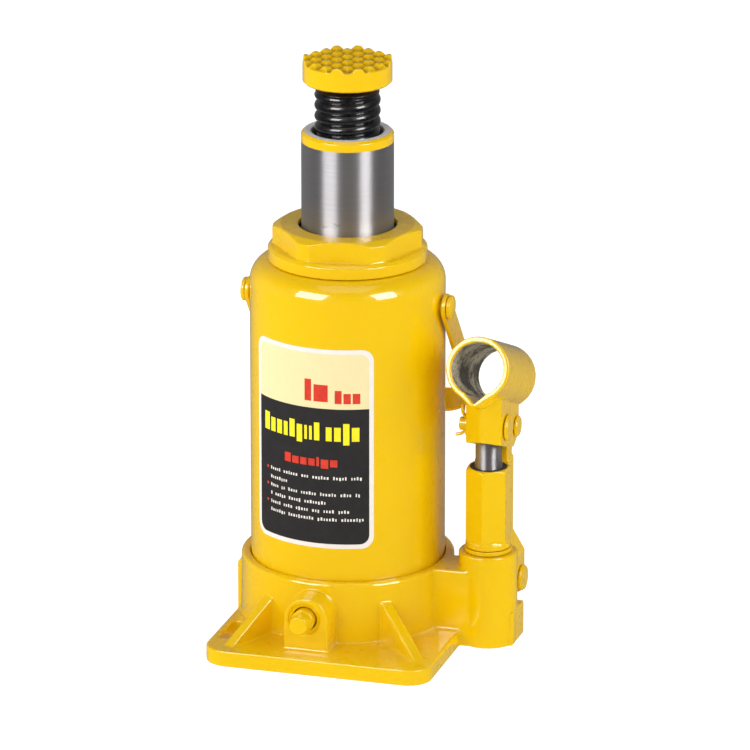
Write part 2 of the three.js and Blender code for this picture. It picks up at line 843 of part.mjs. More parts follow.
// The handle socket: a tube with a V slit along its underside, on two cheeks that close to a blunt
// nose at the front and stand open at the back for the link.
function handleSocket() {
  const { tilt, centre, length, radius, bore, halfWidth, cheek, chin, slitFoot, noseY, noseBackY } = SOCKET;
  const x = PUMP.x;
  const tubeShape = new THREE.Shape();
  tubeShape.absarc(0, 0, radius, -0.34 * Math.PI, 1.34 * Math.PI, false);
  tubeShape.lineTo(-1.6, -chin);
  tubeShape.lineTo(1.6, -chin);
  tubeShape.closePath();
  const keyhole = new THREE.Shape();
  keyhole.absarc(0, 0, bore, -0.37 * Math.PI, 1.37 * Math.PI, false);
  keyhole.lineTo(0, -slitFoot);
  keyhole.closePath();
  const along = (shape, extra) => {
    const geometry = new THREE.ExtrudeGeometry(shape, {
      depth: length + 2 * extra,
      bevelEnabled: false,
      curveSegments: 26,
    });
    geometry.translate(0, 0, -length / 2 - extra);
    geometry.rotateX(Math.PI / 2 - tilt);
    geometry.translate(x, centre[0], centre[1]);
    return solid(geometry);
  };
  const side = outline([
    [noseY, 124],
    [noseY, 98.6],
    [-13, 96.2],
    [3, 90.2],
    [9, 88.6],
    [14, 91],
    [17.2, 96],
    [17.2, 112],
  ]);
  const wedge = (inset) =>
    outline([
      [x, noseY + inset],
      [x + halfWidth - inset, noseBackY + inset * 0.4],
      [x + halfWidth - inset, 40],
      [x - halfWidth + inset, 40],
      [x - halfWidth + inset, noseBackY + inset * 0.4],
    ]);
  const cheeks = plateX(side, x - halfWidth, x + halfWidth).intersect(plateZ(wedge(0), 80, 130));
  const underRoof = outline([[-30, 80], [-30, 115.2], [-15, 115.2], [30, 105.4], [30, 80]]);
  const hollow = plateZ(wedge(cheek), 80, 130).intersect(plateX(underRoof, x - 20, x + 20));
  const pinSlot = new THREE.Shape();
  const [pinY, pinZ] = PIN.plunger;
  pinSlot.absarc(pinY - SOCKET.slotReach, pinZ, SOCKET.slotRadius, Math.PI / 2, 1.5 * Math.PI, false);
  pinSlot.absarc(pinY + SOCKET.slotReach, pinZ, SOCKET.slotRadius, -Math.PI / 2, Math.PI / 2, false);
  pinSlot.closePath();
  return cut(
    join(along(tubeShape, 0), cheeks),
    along(keyhole, 3),
    hollow,
    plateX(pinSlot, x - 20, x + 20, 8),
    rodX(PIN.radius + GAP, x - 20, x + 20, PIN.linkTop[0], PIN.linkTop[1], 16),
  );
}

// A clevis pin along X with its head on the +X side and a cross hole for the split pin in its tail.
function clevisPin([y, z], grip, headRadius, headThick) {
  const x = PUMP.x;
  const headFrom = x + grip + GAP;
  const tail = x - grip - 5;
  return cut(
    join(
      rodX(PIN.radius, tail, headFrom + 0.4, y, z, 16),
      rodX(headRadius, headFrom, headFrom + headThick * 0.6, y, z, 20),
      rodX(headRadius - 0.5, headFrom, headFrom + headThick, y, z, 20),
    ),
    disc(1.15, z - 6, z + 6, 8, x - grip - SPLIT.inset, y),
  );
}

function plainWasher([y, z], face) {
  return cut(
    rodX(6, face - 1.1, face, y, z, 20),
    rodX(PIN.radius + GAP, face - 3, face + 2, y, z, 16),
  );
}

// A split pin: an eye above the clevis pin and one leg bent over below it.
function splitPin([y, z], grip) {
  const x = PUMP.x - grip - SPLIT.inset;
  const r = SPLIT.eye;
  const above = z + PIN.radius + 1.2;
  const route = [
    [x - 4.2, y, z - 5.6],
    [x - 1.2, y, z - 4.6],
    [x, y, z - 3],
    [x, y, z],
    [x, y, z + 3],
    [x - 0.2, y, above],
    [x - 0.4, y - r, above + r * 0.8],
    [x - 0.8, y - r * 0.4, above + r * 2.1],
    [x - 1.1, y + r * 0.9, above + r * 1.6],
    [x - 1.4, y + r * 0.8, above + 0.6],
  ];
  return wire(route, SPLIT.wire, 20, 6);
}

// ---------------------------------------------------------------- valves

function releaseSpindle() {
  const { x, z, spindle, seatY, endY, faceY } = VALVE;
  const thread = spindle - 1;
  const groove = spindle - 1.6;
  const shoulder = faceY - 2.5;
  const profile = [
    [0, seatY - 5.6],
    [2, seatY - 5.6],
    [thread, seatY - 7.4],
    [thread, seatY - 9],
    [groove, seatY - 9],
    [groove, seatY - 11.4],
    [thread, seatY - 11.4],
    [spindle, seatY - 12],
    [spindle, shoulder],
    [0, shoulder],
  ];
  const shaft = new THREE.LatheGeometry(profile.map(([r, y]) => new THREE.Vector2(r, y)), 20);
  shaft.translate(x, 0, z);
  const stub = 8;
  const head = new THREE.CylinderGeometry(4.7, 4.7, stub, 6);
  head.translate(x, endY + stub / 2, z);
  const crown = new THREE.CylinderGeometry(5.2, 4, stub, 20);
  crown.translate(x, endY + stub / 2, z);
  return join(solid(shaft), solid(head).intersect(solid(crown)));
}

function valveSeal() {
  const { x, z, spindle, seatY, bore } = VALVE;
  const middle = (spindle - 1.6 + bore) / 2 - 0.05;
  const geometry = new THREE.TorusGeometry(middle, 0.72, 6, 20);
  geometry.rotateX(Math.PI / 2);
  geometry.translate(x, seatY - 10.2, z);
  return solid(geometry);
}

// A coil spring drawn as one closed helical wire about the line from one point to the other.
function spring(from, to, radius, wireRadius, turns) {
  const start = new THREE.Vector3(...from);
  const run = new THREE.Vector3(...to).sub(start);
  const length = run.length();
  const turn = new THREE.Quaternion().setFromUnitVectors(new THREE.Vector3(0, 0, 1), run.clone().normalize());
  const points = [];
  const perTurn = 6;
  for (let i = 0; i <= turns * perTurn; i++) {
    const angle = (2 * Math.PI * i) / perTurn;
    const along = (length * i) / (turns * perTurn);
    const local = new THREE.Vector3(radius * Math.cos(angle), radius * Math.sin(angle), along);
    points.push(local.applyQuaternion(turn).add(start).toArray());
  }
  return wire(points, wireRadius, turns * perTurn, 4);
}

// A short threaded plug, drawn plain, with a hexagon socket in the face that points along -Z.
function underPlug(x, y) {
  return cut(disc(CHECK.radius - GAP, 1.2, 6.2, 16, x, y), hexagon(3.4, 0.6, 3.6, 0, x, y));
}

// The slotted screw that sets the relief valve's spring.
function reliefScrew() {
  const { bore, z, face } = RELIEF;
  const outer = face + 0.8;
  return cut(
    rodX(bore - GAP, outer, face + 5.6, 0, z, 16),
    box(outer - 1, outer + 1.2, -0.6, 0.6, z - 8, z + 8),
  );
}

function strainer() {
  const { reservoirX } = OIL;
  const foot = BASE.floor + GAP;
  return cut(
    disc(3.8, foot, foot + 3.1, 16, reservoirX - 0.8, CHECK.inletY),
    disc(2.6, foot - 1, foot + 2.1, 12, reservoirX - 0.8, CHECK.inletY),
  );
}

// ---------------------------------------------------------------- the assembly

function pressureGroup() {
  const bottom = BASE.floor + GAP;
  const { radius, bore, bottom: foot, top } = CYLINDER;
  piece("base_casting", baseCasting(), YELLOW);
  piece("tank_gasket_lower", ring(41.5, 44.1, bottom, bottom + 1, 32), RUBBER);
  piece("reservoir_tank", reservoirTank(), YELLOW);
  piece("tank_gasket_upper", ring(31.7, 33.9, NUT.bottom, NUT.bottom + 1.3, 32), RUBBER);
  piece("cylinder_gasket", ring(20.6, 26.8, CHAMBER.ledge + GAP, foot - GAP, 32), COPPER);
  piece("pressure_cylinder", ring(bore, radius, foot, top, 32), PLAIN_STEEL);
  piece("top_nut", topNut(), YELLOW);
  piece("ram_wiper_seal", ring(RAM.radius + GAP, 24.2, WIPER.from + GAP, WIPER.to - 0.8, 32), RUBBER);
  piece("rating_label", ratingLabel(), PAPER);
  piece("filler_plug", fillerPlug(), RUBBER);
  piece("carry_handle_rivet_right", rivet(1), YELLOW);
  piece("carry_handle_rivet_left", rivet(-1), YELLOW);
  piece("carry_handle", carryHandle(), YELLOW);
}

function ramGroup() {
  const foot = RAM.bottom;
  const stub = RAM.stub + GAP;
  const fit = 20.8;
  piece("ram", ram(), GROUND_STEEL);
  piece("ram_guide_ring", ring(stub, fit, foot - 4.6, foot - GAP, 32), BRASS);
  piece("ram_cup_seal", ring(stub, fit, foot - RAM.stubLength, foot - 4.9, 32), URETHANE);
  piece("ram_seal_retainer", ramRetainer(), PLAIN_STEEL);
  piece("screw_stop_ring", ring(6.6, 14.6, SCREW.bottom - 4.4, SCREW.bottom - GAP, 24), PLAIN_STEEL);
  piece("extension_screw", extensionScrew(), BLACK_STEEL);
  piece("saddle_pad", saddlePad(), YELLOW);
}

function pumpGroup() {
  const { x, y, blockTop, top, shank } = PUMP;
  const { radius, bottom, tail, tailRadius } = PLUNGER;
  const grip = SOCKET.halfWidth;
  const washerTop = blockTop + 2.1;
  const cupTop = bottom + tail - GAP;
  piece("pump_cylinder_washer", ring(shank + GAP, 10.8, blockTop + GAP, washerTop, 28, x, y), YELLOW);
  piece("pump_cylinder", pumpCylinder(), YELLOW);
  piece("pump_wiper_seal", ring(radius + GAP, 8.1, top - 0.9, top - 0.1, 24, x, y), RUBBER);
  piece("pump_plunger", pumpPlunger(), GROUND_STEEL);
  piece("plunger_cup_seal", ring(tailRadius + GAP, 6.3, bottom + 0.4, cupTop, 24, x, y), URETHANE);
  piece("connecting_link", connectingLink(), YELLOW);
  piece("handle_socket", handleSocket(), YELLOW);
  piece("plunger_pin", clevisPin(PIN.plunger, grip, 6, 1.6), YELLOW);
  piece("plunger_pin_washer", plainWasher(PIN.plunger, x - grip - GAP), YELLOW);
  piece("plunger_split_pin", splitPin(PIN.plunger, grip), YELLOW);
  piece("link_top_pin", clevisPin(PIN.linkTop, grip, 4.8, 1.3), YELLOW);
  piece("link_top_split_pin", splitPin(PIN.linkTop, grip), YELLOW);
  piece("link_foot_pin", clevisPin(PIN.linkFoot, LINK.halfFork, 5.9, 1.8), YELLOW);
  piece("link_foot_split_pin", splitPin(PIN.linkFoot, LINK.halfFork), YELLOW);
}

// One check valve of the pump: a ball, its spring and the plug that closes its bore.
function checkValve(name, y) {
  const { x, ball: radius, ballZ } = CHECK;
  const springFoot = [x, y, 6.9];
  const springTop = [x, y, ballZ - 3.6];
  piece(name + "_check_ball", ball(radius, x, y, ballZ), CHROME_STEEL);
  piece(name + "_check_spring", spring(springFoot, springTop, 2.4, 0.35, 3), PLAIN_STEEL);
  piece(name + "_check_plug", underPlug(x, y), BLACK_STEEL);
}

function valveGroup() {
  const { x, z, seatY } = VALVE;
  const { ball: radius, seatX, z: reliefZ } = RELIEF;
  const ballX = seatX - 2.6;
  piece("release_valve_spindle", releaseSpindle(), YELLOW);
  piece("release_valve_seal", valveSeal(), RUBBER);
  piece("release_valve_ball", ball(2.4, x, seatY - 2.8, z), CHROME_STEEL);
  checkValve("inlet", CHECK.inletY);
  checkValve("outlet", CHECK.outletY);
  piece("relief_valve_ball", ball(radius, ballX, 0, reliefZ), CHROME_STEEL);
  const springEnds = [[ballX - 3, 0, reliefZ], [ballX - 7.6, 0, reliefZ]];
  piece("relief_valve_spring", spring(...springEnds, 2.6, 0.4, 4), PLAIN_STEEL);
  piece("relief_valve_screw", reliefScrew(), BRASS);
  piece("suction_strainer", strainer(), BRASS);
}

pressureGroup();
ramGroup();
pumpGroup();
valveGroup();

export default jack;
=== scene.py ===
import json
import math

import bmesh
import bpy
import numpy as np
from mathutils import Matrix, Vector

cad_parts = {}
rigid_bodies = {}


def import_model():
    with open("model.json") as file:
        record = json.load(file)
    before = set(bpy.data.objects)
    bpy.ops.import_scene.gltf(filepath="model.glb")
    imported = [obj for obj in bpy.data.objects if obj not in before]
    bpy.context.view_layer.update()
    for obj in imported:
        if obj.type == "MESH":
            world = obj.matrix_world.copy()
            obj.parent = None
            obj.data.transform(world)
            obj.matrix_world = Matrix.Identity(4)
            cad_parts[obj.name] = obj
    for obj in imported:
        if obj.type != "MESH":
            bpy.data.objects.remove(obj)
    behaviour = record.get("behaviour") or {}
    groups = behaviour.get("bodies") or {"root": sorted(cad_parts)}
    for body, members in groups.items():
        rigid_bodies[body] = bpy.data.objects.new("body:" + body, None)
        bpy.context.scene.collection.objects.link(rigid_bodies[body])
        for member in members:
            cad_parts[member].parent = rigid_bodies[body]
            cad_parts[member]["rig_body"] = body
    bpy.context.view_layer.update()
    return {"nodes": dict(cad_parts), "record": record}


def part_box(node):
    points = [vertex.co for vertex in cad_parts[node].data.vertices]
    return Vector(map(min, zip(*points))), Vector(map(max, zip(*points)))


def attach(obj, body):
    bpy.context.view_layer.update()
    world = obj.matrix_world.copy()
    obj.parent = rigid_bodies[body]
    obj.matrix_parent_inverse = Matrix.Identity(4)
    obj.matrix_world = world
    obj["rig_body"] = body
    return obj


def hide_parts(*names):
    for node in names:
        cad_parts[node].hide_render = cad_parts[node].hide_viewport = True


# The looks of a hydraulic bottle jack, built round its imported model. Lengths on the jack are in
# millimetres in the model's own frame, and MM turns them into Blender's metres. Lights are placed in
# metres, and the scale of a noise is a number per metre.

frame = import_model()
MM = 0.001

# Turned and cast surfaces that the visual pieces share with the model: radii and other lengths, and
# spans along an axis. Only the middle of the label is an angle, in degrees from the tank's front.
CUP = {"radius": 48.3, "draft": 0.6, "top": 35.5, "recess": 44.4}
TANK = {"radius": 44.0, "wall": 2.0, "shoulder": 10.0, "mouth": 31.4}
RAM = {"radius": 20.75, "bore": 16.0, "bore_floor": 92.0, "stub": 14.0, "hole": 6.0, "band": 4.6}
SCREW = {"crest": 14.8, "root": 12.7, "pitch": 5.0, "spigot": 9.0, "neck": 6.2, "plain": 251.4}
# The saddle's painted shade is fullest below the first of its two shade heights and gone above the
# second; it shows inside the first rim radius and not outside the second.
SADDLE = {"radius": 20.0, "span": (256, 267), "shade_deepest": 264.2, "shade_gone": 266.2, "rim": (19.0, 19.7)}
NUT = {"flange": 35.8, "flange_span": (174, 180), "mouth": 22.2, "mouth_span": (187, 191)}
PUMP = {"x": 67.2, "y": -4.0, "block": 13.3, "collar": 10.2, "mouth": 8.4, "plunger": 6.2}
SOCKET = {"centre": (67.2, -0.5, 125.9), "tilt": math.radians(21.6), "outer": 14.5, "bore": 12.0}
VALVE = {"x": -2.4, "z": 22.0, "mouth": 7.4}
LABEL = {"middle": -7.75, "low": 50.8, "high": 144.5, "divide": 116.7, "border": 2.1, "corner": 5.5}
HALF_LABEL = TANK["radius"] * math.radians(39.75)

# How far the faces of the label's layers stand off the tank; the ink starts just inside the panels.
FILM = {"foot": -0.05, "sheet": 0.16, "panel": 0.19, "ink_foot": 0.17, "ink": 0.22}

UPRIGHT = (0, 0, 1)
CENTRE = (0, 0, 0)


# ---------------------------------------------------------------- materials


class Finish:
    """A Principled material and the few node patterns that the finishes are made from."""

    def __init__(self, name, **values):
        self.material = bpy.data.materials.new(name)
        self.material.use_nodes = True
        self.nodes = self.material.node_tree.nodes
        self.links = self.material.node_tree.links
        self.shader = self.nodes["Principled BSDF"]
        for socket, value in values.items():
            self.shader.inputs[socket.replace("_", " ")].default_value = value
        self.place = self.nodes.new("ShaderNodeTexCoord").outputs["Object"]

    def noise(self, scale, detail=3.0, stretch=(1, 1, 1), rough=0.5):
        """Noise with features about 1/scale metres across, closer together along a stretched axis."""
        mapping = self.nodes.new("ShaderNodeMapping")
        mapping.inputs["Scale"].default_value = stretch
        self.links.new(self.place, mapping.inputs["Vector"])
        texture = self.nodes.new("ShaderNodeTexNoise")
        texture.inputs["Scale"].default_value = scale
        texture.inputs["Detail"].default_value = detail
        texture.inputs["Roughness"].default_value = rough
        self.links.new(mapping.outputs["Vector"], texture.inputs["Vector"])
        return texture.outputs["Fac"]

    def pointiness(self):
        """About a half where it is flat, less in inner corners and more on outer edges."""
        return self.nodes.new("ShaderNodeNewGeometry").outputs["Pointiness"]

    def spread(self, factor, low, high, to_low=0.0, to_high=1.0):
        """Maps the factor's stretch from low to high onto another one, and holds it at the ends."""
        node = self.nodes.new("ShaderNodeMapRange")
        values = {"From Min": low, "From Max": high, "To Min": to_low, "To Max": to_high}
        for socket, value in values.items():
            node.inputs[socket].default_value = value
        self.links.new(factor, node.inputs["Value"])
        return node.outputs["Result"]

    def mix(self, factor, first, second):
        """A colour between two, each of them a colour or another node's output."""
        node = self.nodes.new("ShaderNodeMix")
        node.data_type = "RGBA"
        self.links.new(factor, node.inputs["Factor"])
        colours = [socket for socket in node.inputs if socket.type == "RGBA"]
        for socket, colour in zip(colours, (first, second)):
            if isinstance(colour, tuple):
                socket.default_value = (*colour, 1)
            else:
                self.links.new(colour, socket)
        return next(socket for socket in node.outputs if socket.type == "RGBA")

    def colour(self, output):
        self.links.new(output, self.shader.inputs["Base Color"])

    def roughness(self, factor, low, high):
        """Roughness from low to high over the factor's middle half."""
        self.links.new(self.spread(factor, 0.3, 0.7, low, high), self.shader.inputs["Roughness"])

    def bump(self, height, strength, distance):
        """A bump on top of any that is there already; the distance is in millimetres."""
        node = self.nodes.new("ShaderNodeBump")
        node.inputs["Strength"].default_value = strength
        node.inputs["Distance"].default_value = distance * MM
        self.links.new(height, node.inputs["Height"])
        normal = self.shader.inputs["Normal"]
        if normal.is_linked:
            self.links.new(normal.links[0].from_socket, node.inputs["Normal"])
        self.links.new(node.outputs["Normal"], normal)


def yellow_gloss(name, peel):
    """Thick yellow gloss paint with a faint orange peel, and the node that holds its colour."""
    finish = Finish(
        name,
        Roughness=0.3,
        Specular_IOR_Level=0.15,
        Coat_Weight=1.0,
        Coat_Roughness=0.03,
        Coat_IOR=1.6,
    )
    cloud = finish.noise(14, 2)
    body = finish.mix(finish.spread(cloud, 0.35, 0.65), (0.80, 0.495, 0.0), (0.83, 0.52, 0.0))
    finish.roughness(finish.noise(160, 3), 0.24, 0.36)
    finish.bump(finish.noise(260, 1), peel, 0.06)
    return finish, body


def enamel(name, peel):
    """Yellow gloss over smooth metal."""
    finish, body = yellow_gloss(name, peel)
    finish.colour(body)
    return finish.material


def cast_enamel():
    """Yellow gloss over sand-cast metal, with painted shade: browner and darker in its inner corners,
    where shade falls.
    """
    finish, body = yellow_gloss("cast_enamel", 0.03)
    # Painted shade: where the pointiness is low, in inner corners and fillets, the paint is mixed
    # towards a dark brown.
    corners = finish.spread(finish.pointiness(), 0.38, 0.46)
    finish.colour(finish.mix(corners, (0.62, 0.31, 0.0), body))
    finish.bump(finish.noise(120, 2), 0.24, 0.35)
    return finish.material


def studded_enamel():
    """The saddle's yellow gloss with painted shade: darker down between the studs, where shade falls.

    The painted shade goes by the height and by the distance from the axis, so the rim stays unshaded."""
    finish, body = yellow_gloss("saddle_enamel", 0.03)
    split = finish.nodes.new("ShaderNodeSeparateXYZ")
    finish.links.new(finish.place, split.inputs["Vector"])
    flat = finish.nodes.new("ShaderNodeCombineXYZ")
    finish.links.new(split.outputs["X"], flat.inputs["X"])
    finish.links.new(split.outputs["Y"], flat.inputs["Y"])
    out = finish.nodes.new("ShaderNodeVectorMath")
    out.operation = "LENGTH"
    finish.links.new(flat.outputs["Vector"], out.inputs[0])
    rim_from, rim_to = SADDLE["rim"]
    rim = finish.spread(out.outputs["Value"], rim_from * MM, rim_to * MM)
    # Painted shade: a darker brown yellow down between the studs, kept off the rim.
    valley_shade = finish.mix(rim, (0.40, 0.19, 0.0), body)
    height = finish.spread(split.outputs["Z"], SADDLE["shade_deepest"] * MM, SADDLE["shade_gone"] * MM)
    finish.colour(finish.mix(height, valley_shade, body))
    return finish.material


def ground_steel():
    """Ground and hard-plated steel with fine rings round it and a few handling marks."""
    finish = Finish(
        "ground_steel",
        Metallic=0.88,
        Roughness=0.42,
        Anisotropic=0.97,
        Anisotropic_Rotation=0.25,
    )
    rings = finish.noise(60, 3, (1, 1, 30))
    marks = finish.noise(70, 6, (1, 1, 2), 0.7)
    plain = finish.mix(finish.spread(rings, 0.3, 0.7), (0.42, 0.405, 0.42), (0.47, 0.455, 0.47))
    finish.colour(finish.mix(finish.spread(marks, 0.64, 0.74), plain, (0.20, 0.19, 0.19)))
    finish.roughness(marks, 0.39, 0.46)
    finish.bump(rings, 0.05, 0.01)
    return finish.material


def bare_steel():
    """The unpainted bore of the socket: drawn steel with scale, smears and dark specks."""
    finish = Finish("bare_steel", Metallic=0.5, Roughness=0.45)
    stain = finish.noise(95, 6, (1, 0.6, 0.6), 0.7)
    specks = finish.noise(900, 3)
    body = finish.mix(finish.spread(stain, 0.44, 0.56), (0.13, 0.11, 0.075), (0.86, 0.80, 0.64))
    finish.colour(finish.mix(finish.spread(specks, 0.58, 0.66), body, (0.03, 0.026, 0.02)))
    finish.roughness(stain, 0.32, 0.6)
    finish.bump(specks, 0.25, 0.05)
    return finish.material


def black_oxide():
    """Oiled black thread with worn crests."""
    finish = Finish("black_oxide", Metallic=0.2, Roughness=0.3, Coat_Weight=0.8, Coat_Roughness=0.07)
    wear = finish.noise(300, 4)
    body = finish.mix(finish.spread(wear, 0.4, 0.65), (0.003, 0.003, 0.004), (0.009, 0.008, 0.010))
    crests = finish.spread(finish.pointiness(), 0.53, 0.6)
    finish.colour(finish.mix(crests, body, (0.020, 0.019, 0.021)))
    finish.roughness(wear, 0.22, 0.4)
    finish.bump(finish.noise(500, 3), 0.08, 0.03)
    return finish.material


def plain_metal(name, dark, light, low, high):
    """Turned metal: rings from the tool, and a colour that wanders a little."""
    finish = Finish(name, Metallic=1.0, Roughness=low)
    cloud = finish.noise(150, 4)
    finish.colour(finish.mix(finish.spread(cloud, 0.35, 0.65), dark, light))
    finish.roughness(finish.noise(400, 3), low, high)
    finish.bump(finish.noise(250, 2, (1, 1, 8)), 0.12, 0.03)
    return finish.material


def faced_steel():
    """The ram's bare end face: finely grained, and duller than its ground side."""
    finish = Finish("faced_steel", Metallic=0.1, Roughness=0.4)
    cloud = finish.noise(220, 4)
    finish.colour(finish.mix(finish.spread(cloud, 0.35, 0.65), (0.80, 0.80, 0.81), (0.88, 0.88, 0.89)))
    finish.roughness(cloud, 0.34, 0.5)
    finish.bump(finish.noise(900, 2), 0.08, 0.02)
    return finish.material


def rubbery(name, dark, light):
    """Moulded rubber or plastic with a matt, finely grained face."""
    finish = Finish(name, Roughness=0.6, IOR=1.45)
    cloud = finish.noise(200, 4)
    finish.colour(finish.mix(finish.spread(cloud, 0.35, 0.65), dark, light))
    finish.roughness(cloud, 0.5, 0.75)
    finish.bump(finish.noise(1500, 3), 0.2, 0.03)
    return finish.material


def printed(name, dark, light):
    """Printed film: the ink's density varies a little under a satin layer."""
    finish = Finish(name, Roughness=0.42, IOR=1.33)
    density = finish.noise(260, 4)
    finish.colour(finish.mix(finish.spread(density, 0.3, 0.7), dark, light))
    finish.roughness(finish.noise(90, 3), 0.38, 0.48)
    finish.bump(finish.noise(500, 2), 0.04, 0.02)
    return finish.material


PAINT = enamel("enamel", 0.015)
CAST_PAINT = cast_enamel()
SADDLE_PAINT = studded_enamel()
STEEL = ground_steel()
BORE_STEEL = bare_steel()
BLACK = black_oxide()
TURNED = plain_metal("turned_steel", (0.30, 0.31, 0.33), (0.44, 0.45, 0.47), 0.25, 0.42)
BEARING = plain_metal("bearing_steel", (0.60, 0.61, 0.63), (0.72, 0.73, 0.75), 0.06, 0.14)
BRASS = plain_metal("brass", (0.52, 0.36, 0.11), (0.68, 0.49, 0.18), 0.24, 0.4)
COPPER = plain_metal("copper", (0.52, 0.24, 0.13), (0.68, 0.34, 0.19), 0.26, 0.42)
FACED = faced_steel()
RUBBER = rubbery("nitrile_rubber", (0.012, 0.012, 0.012), (0.028, 0.027, 0.026))
URETHANE = rubbery("urethane", (0.42, 0.10, 0.03), (0.58, 0.16, 0.05))
WHITE_FILM = printed("white_film", (0.76, 0.71, 0.65), (0.80, 0.75, 0.69))
CREAM_INK = printed("cream_ink", (0.78, 0.67, 0.35), (0.80, 0.69, 0.37))
DARK_INK = printed("dark_ink", (0.022, 0.020, 0.020), (0.026, 0.024, 0.024))
RED_INK = printed("red_ink", (0.58, 0.030, 0.012), (0.70, 0.045, 0.018))
YELLOW_INK = printed("yellow_ink", (0.84, 0.70, 0.010), (0.92, 0.78, 0.015))

SLOT_FINISH = {
    "yellow_enamel": PAINT,
    "ground_steel": STEEL,
    "black_oxide_steel": BLACK,
    "turned_steel": TURNED,
    "bearing_steel": BEARING,
    "nitrile_rubber": RUBBER,
    "urethane": URETHANE,
    "brass": BRASS,
    "copper": COPPER,
    "label_film": WHITE_FILM,
}
SLOT_OF = {row["node"]: row["material_slot"] for row in frame["record"]["subparts"]}


# ---------------------------------------------------------------- making pieces


def read_points(mesh):
    points = np.empty(len(mesh.vertices) * 3)
    mesh.vertices.foreach_get("co", points)
    return points.reshape(-1, 3) / MM


def write_points(mesh, points):
    mesh.vertices.foreach_set("co", (points * MM).ravel())
    mesh.update()


def stand_for(piece, node):
    """The piece rides where the node does and is shown in its place."""
    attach(piece, frame["nodes"][node]["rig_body"])
    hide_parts(node)
    return piece


def new_piece(name, mesh, finish):
    piece = bpy.data.objects.new(name, mesh)
    bpy.context.scene.collection.objects.link(piece)
    mesh.materials.clear()
    mesh.materials.append(finish)
    mesh.shade_smooth()
    return piece


def mesh_of(name, points, faces):
    mesh = bpy.data.meshes.new(name)
    mesh.from_pydata([Vector(p) * MM for p in points], [], faces)
    sheet = bmesh.new()
    sheet.from_mesh(mesh)
    bmesh.ops.recalc_face_normals(sheet, faces=sheet.faces)
    sheet.to_mesh(mesh)
    sheet.free()
    return mesh


def soften(node, voxel, passes, finish, cylinders=()):
    """A fine copy of a CAD solid whose edges are rounded as paint and casting round them.

    Points near one of the cylinders are put back exactly on it, so that it shows no facets."""
    source = frame["nodes"][node]
    draft = bpy.data.objects.new(node + "_draft", source.data.copy())
    bpy.context.scene.collection.objects.link(draft)
    remesh = draft.modifiers.new("remesh", "REMESH")
    remesh.mode = "VOXEL"
    remesh.voxel_size = voxel * MM
    smooth = draft.modifiers.new("smooth", "SMOOTH")
    smooth.factor = 0.5
    smooth.iterations = passes
    bpy.context.view_layer.update()
    evaluated = draft.evaluated_get(bpy.context.evaluated_depsgraph_get())
    mesh = bpy.data.meshes.new_from_object(evaluated)
    bpy.data.objects.remove(draft)
    for cylinder in cylinders:
        snap_to_cylinder(mesh, **cylinder)
    mesh.name = node + "_surface"
    return stand_for(new_piece(node + "_skin", mesh, finish), node)


def snap_to_cylinder(mesh, centre, axis, radius, span, reach=0.3, taper=0.0):
    """Moves the points within reach of a cylinder, between two places along it, onto the cylinder.

    The radius grows by taper for each millimetre along the axis; the move fades out at its limits."""
    points = read_points(mesh)
    axis = np.array(Vector(axis).normalized())
    offset = points - np.array(centre)
    along = offset @ axis
    radial = offset - np.outer(along, axis)
    distance = np.linalg.norm(radial, axis=1)
    wanted = radius + taper * along
    error = wanted - distance
    near = np.clip(2 - 2 * np.abs(error) / reach, 0, 1)
    inside = np.clip(np.minimum(along - span[0], span[1] - along) + 1, 0, 1)
    move = error * near * inside / np.maximum(distance, 1e-6)
    write_points(mesh, points + radial * move[:, None])


def filleted(points, steps=5):
    """An outline from (a, b, radius) corners, with each corner rounded by its radius."""
    made = []
    count = len(points)
    for i, (a, b, radius) in enumerate(points):
        here = Vector((a, b))
        if not radius or i in (0, count - 1):
            made.append((a, b))
            continue
        to_last = (Vector(points[i - 1][:2]) - here).normalized()
        to_next = (Vector(points[i + 1][:2]) - here).normalized()
        half = to_last.angle(to_next) / 2
        start = here + to_last * (radius / math.tan(half))
        end = here + to_next * (radius / math.tan(half))
        centre = here + (to_last + to_next).normalized() * (radius / math.sin(half))
        for k in range(steps + 1):
            spoke = (start - centre).lerp(end - centre, k / steps).normalized() * radius
            made.append(tuple(centre + spoke))
    return made


def supported(outline, inset=0.2):
    """The outline with two more points on each long side, so that a corner's shading stays there."""
    made = []
    for start, end in zip(outline, outline[1:]):
        made.append(start)
        length = math.dist(start, end)
        if length > 15 * inset:
            for share in (inset / length, 1 - inset / length):
                made.append(tuple(a + (b - a) * share for a, b in zip(start, end)))
    return made + [outline[-1]]


def lathe(name, outline, finish, segments=160):
    """A solid turned about the ram's axis from a list of (radius, z).

    An outline that starts and ends on the axis is whole; any other is closed into a ring."""
    points = []
    rows = []
    for radius, z in supported(outline):
        if radius == 0:
            rows.append([len(points)] * segments)
            points.append((0.0, 0.0, z))
            continue
        rows.append(list(range(len(points), len(points) + segments)))
        for k in range(segments):
            angle = 2 * math.pi * k / segments
            points.append((radius * math.cos(angle), radius * math.sin(angle), z))
    if outline[0][0] > 0:
        rows.append(rows[0])
    faces = []
    for low, high in zip(rows, rows[1:]):
        for k in range(segments):
            n = (k + 1) % segments
            corners = [low[k], low[n], high[n], high[k]]
            face = [c for i, c in enumerate(corners) if c != corners[i - 1]]
            if len(face) > 2:
                faces.append(face)
    return new_piece(name, mesh_of(name, points, faces), finish)


def another_finish(piece, finish, chosen):
    """Gives another finish to the faces whose centres, in millimetres, the test picks out."""
    mesh = piece.data
    mesh.materials.append(finish)
    count = len(mesh.polygons)
    centres = np.empty(count * 3)
    index = np.empty(count, np.int32)
    mesh.polygons.foreach_get("center", centres)
    mesh.polygons.foreach_get("material_index", index)
    index[chosen(centres.reshape(-1, 3) / MM)] = len(mesh.materials) - 1
    mesh.polygons.foreach_set("material_index", index)


# ---------------------------------------------------------------- base and tank


